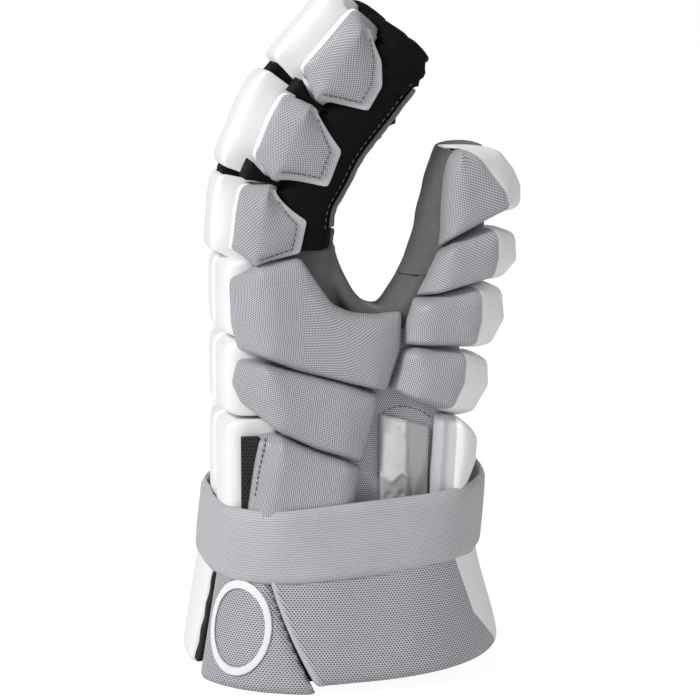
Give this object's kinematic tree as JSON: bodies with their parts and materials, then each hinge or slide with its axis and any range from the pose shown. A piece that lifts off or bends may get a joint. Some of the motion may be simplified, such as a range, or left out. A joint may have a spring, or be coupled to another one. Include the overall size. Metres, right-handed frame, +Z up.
{
  "type": "lacrosse glove",
  "caption": "Padded left-hand lacrosse glove standing on its flared cuff, with segmented foam over the fingers, thumb and back of the hand and a wrist strap.",
  "frame": {"origin": "centre of the overall box, at the level of the lowest hem that the glove stands on", "axes": "+Z up from the cuff to the fingertips, +X toward the palm and the thumb's tip, -Y toward the thumb side"},
  "size_m": [0.1512, 0.1304, 0.3125],
  "materials": {
    "grey_mesh": "woven mesh",
    "white_cover": "smooth",
    "black_mesh": "matt",
    "grey_suede": "suede",
    "strap_web": "ribbed knit",
    "clear_plastic": "clear, moulded"
  },
  "bodies": {
    "root": {"palm_shell": "grey_suede", "thumb_stall": "grey_suede", "index_stall": "black_mesh", "middle_stall": "black_mesh", "ring_stall": "black_mesh", "little_stall": "black_mesh", "index_palm": "grey_suede", "middle_palm": "grey_suede", "ring_palm": "grey_suede", "little_palm": "grey_suede", "index_pad_1": "white_cover", "index_pad_2": "white_cover", "index_pad_3": "white_cover", "middle_pad_1": "white_cover", "middle_pad_2": "white_cover", "middle_pad_3": "white_cover", "ring_pad_1": "white_cover", "ring_pad_2": "white_cover", "ring_pad_3": "white_cover", "little_pad_1": "white_cover", "little_pad_2": "white_cover", "little_pad_3": "white_cover", "thumb_side_pad_a": "grey_mesh", "thumb_side_pad_b": "grey_mesh", "thumb_side_pad_c": "grey_mesh", "little_side_pad_a": "grey_mesh", "little_side_pad_b": "grey_mesh", "little_side_pad_c": "grey_mesh", "back_pad_a_1": "white_cover", "back_pad_a_2": "white_cover", "back_pad_a_3": "white_cover", "back_pad_b_1": "white_cover", "back_pad_b_2": "white_cover", "back_pad_b_3": "white_cover", "back_pad_c_1": "white_cover", "back_pad_c_2": "white_cover", "back_pad_c_3": "white_cover", "thumb_pad_1": "grey_mesh", "thumb_pad_2": "grey_mesh", "thumb_pad_3": "grey_mesh", "thumb_pad_4": "grey_mesh", "thumb_base_pad": "white_cover", "clear_insert": "clear_plastic", "vent_mesh": "black_mesh", "thumb_flap": "grey_mesh", "badge_flap": "grey_mesh", "back_flap": "white_cover", "little_flap": "grey_mesh", "wrist_strap": "strap_web"}
  },
  "joints": []
}
